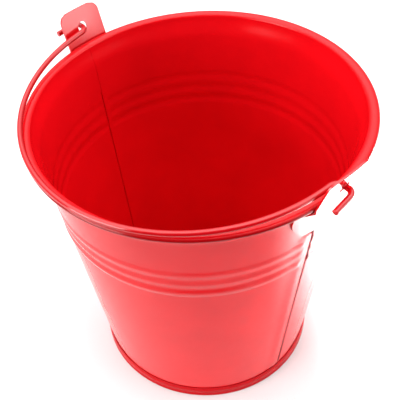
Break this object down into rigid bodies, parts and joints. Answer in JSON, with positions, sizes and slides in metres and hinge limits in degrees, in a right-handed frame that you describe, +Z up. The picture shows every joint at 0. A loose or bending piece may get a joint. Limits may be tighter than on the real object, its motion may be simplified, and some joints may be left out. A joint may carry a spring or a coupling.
{
  "type": "wash bucket",
  "caption": "Small tapered round pail of painted sheet metal with a rolled rim, raised bands, a folded foot ring and a wire bail that swings over the opening.",
  "frame": {"origin": "on the ground, under the middle of the bottom", "axes": "+Z up, X along the bail's hinge axis from the left ear to the right ear, -Y towards the side of the rim the bail lies on"},
  "size_m": [0.1226, 0.1102, 0.1188],
  "materials": {
    "body_paint": "gloss red enamel over tinplate",
    "bottom_paint": "gloss red enamel over tinplate",
    "ear_paint": "gloss red enamel over steel strip",
    "wire_paint": "gloss red enamel over steel wire"
  },
  "bodies": {
    "pail": {"side_panel_front": "body_paint", "side_panel_rear": "body_paint", "bottom": "bottom_paint", "ear_right": "ear_paint", "ear_left": "ear_paint"},
    "bail": {"bail_wire": "wire_paint"}
  },
  "joints": [
    {"name": "bail_hinge", "type": "hinge", "parent": "pail", "child": "bail", "pos_m": [0, 0, 0.1125], "axis": [-1, 0, 0], "range_deg": [0, 173]}
  ]
}
